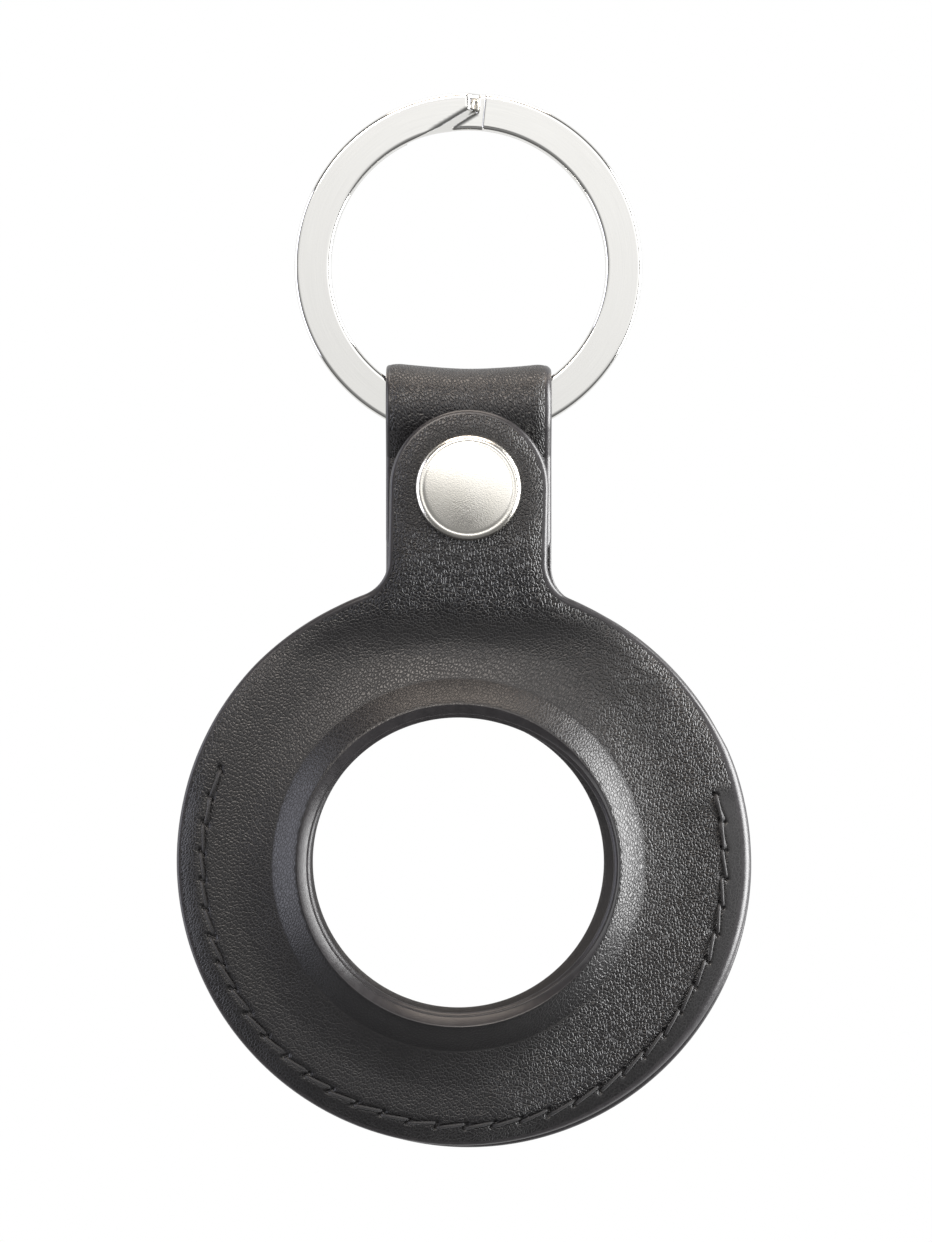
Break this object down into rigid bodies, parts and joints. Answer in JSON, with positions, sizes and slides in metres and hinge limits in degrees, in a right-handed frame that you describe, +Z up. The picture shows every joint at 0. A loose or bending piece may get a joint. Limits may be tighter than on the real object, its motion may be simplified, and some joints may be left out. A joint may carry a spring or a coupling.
{
  "type": "tracker tag holder",
  "caption": "Round black leather case that holds a coin-shaped tracker tag behind a window, closed by a snap tab, with a strap loop on a split key ring.",
  "frame": {"origin": "centre of the split key ring, midway between its two turns", "axes": "+X to the right seen from the front, +Y from the front (snap side) to the back, +Z up from the case to the ring"},
  "size_m": [0.054, 0.0117, 0.1002],
  "materials": {
    "ring_steel": "polished nickel-plated steel",
    "leather": "black, fine pebble grain, painted edges",
    "lining": "black microfibre",
    "snap_metal": "brass with satin nickel plating",
    "thread": "black waxed thread"
  },
  "bodies": {
    "key_ring": {"split_ring": "ring_steel"},
    "holder": {"back_panel": "leather", "back_lining": "lining", "front_panel": "leather", "front_lining": "lining", "snap_stud": "snap_metal", "snap_eyelet": "snap_metal", "front_stitches": "thread", "back_stitches": "thread"},
    "flap": {"front_flap": "leather", "flap_lining": "lining", "snap_cap": "snap_metal", "snap_socket": "snap_metal", "snap_spring": "snap_metal"}
  },
  "joints": [
    {"name": "holder_swing", "type": "hinge", "parent": "key_ring", "child": "holder", "pos_m": [0, 0, -0.01348], "axis": [1, 0, 0], "range_deg": [-120, 150]},
    {"name": "flap_open", "type": "hinge", "parent": "holder", "child": "flap", "pos_m": [0, -0.00576, -0.04694], "axis": [1, 0, 0], "range_deg": [0, 90], "stiffness_Nm_per_rad": 0.004}
  ]
}
